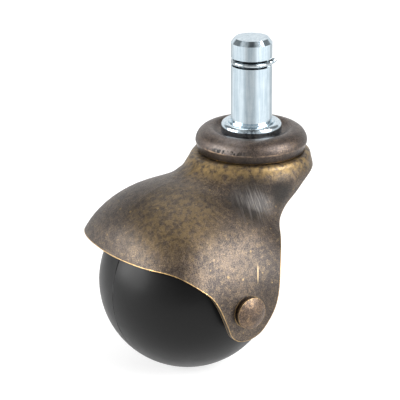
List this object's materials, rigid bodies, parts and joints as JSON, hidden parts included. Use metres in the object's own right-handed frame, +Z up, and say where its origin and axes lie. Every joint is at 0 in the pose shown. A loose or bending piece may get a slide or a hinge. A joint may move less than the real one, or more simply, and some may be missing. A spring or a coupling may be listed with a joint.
{
  "type": "furniture castor",
  "caption": "Hooded ball castor with a grip ring stem: a pressed hood with a visor swivels on a stem over a ball wheel.",
  "frame": {"origin": "on the swivel axis, at the top face of the stem's collar, where the collar seats against the furniture", "axes": "+Z up the stem, -X the way the wheel trails and the visor points, Y along the axle, with the domed rivet head on -Y"},
  "size_m": [0.062, 0.0612, 0.0878],
  "materials": {
    "zinc_steel": "bright zinc plated, turned",
    "spring_wire": "bright zinc plated spring wire",
    "antique_brass_cup": "antique brass plated pressed steel, smooth",
    "antique_brass": "antique brass plated pressed steel, mottled and lightly brushed",
    "antique_brass_rivet": "antique brass plated steel with a worn rim",
    "race_steel": "hardened steel",
    "washer_steel": "zinc plated",
    "ball_steel": "polished steel",
    "black_plastic": "black moulded plastic, satin"
  },
  "bodies": {
    "stem": {"stem": "zinc_steel", "grip_ring": "spring_wire", "top_cup": "antique_brass_cup", "lower_race": "race_steel"},
    "hood": {"hood": "antique_brass", "axle": "antique_brass_rivet", "axle_washer_near": "washer_steel", "axle_washer_far": "washer_steel"},
    "wheel": {"wheel_half_near": "black_plastic", "wheel_half_far": "black_plastic", "wheel_bushing": "race_steel"},
    "ball_race": {"bearing_ball_01": "ball_steel", "bearing_ball_02": "ball_steel", "bearing_ball_03": "ball_steel", "bearing_ball_04": "ball_steel", "bearing_ball_05": "ball_steel", "bearing_ball_06": "ball_steel", "bearing_ball_07": "ball_steel", "bearing_ball_08": "ball_steel", "bearing_ball_09": "ball_steel", "bearing_ball_10": "ball_steel", "bearing_ball_11": "ball_steel", "bearing_ball_12": "ball_steel"}
  },
  "joints": [
    {"name": "swivel", "type": "hinge", "parent": "stem", "child": "hood", "pos_m": [0, 0, 0], "axis": [0, 0, 1], "continuous": true},
    {"name": "wheel_spin", "type": "hinge", "parent": "hood", "child": "wheel", "pos_m": [-0.0209, 0, -0.04135], "axis": [0, 1, 0], "continuous": true},
    {"name": "ball_race_turn", "type": "hinge", "parent": "stem", "child": "ball_race", "pos_m": [0, 0, 0], "axis": [0, 0, 1], "continuous": true}
  ],
  "couplings": [
    {"joint": "ball_race_turn", "follows": "swivel", "ratio": 0.5}
  ]
}
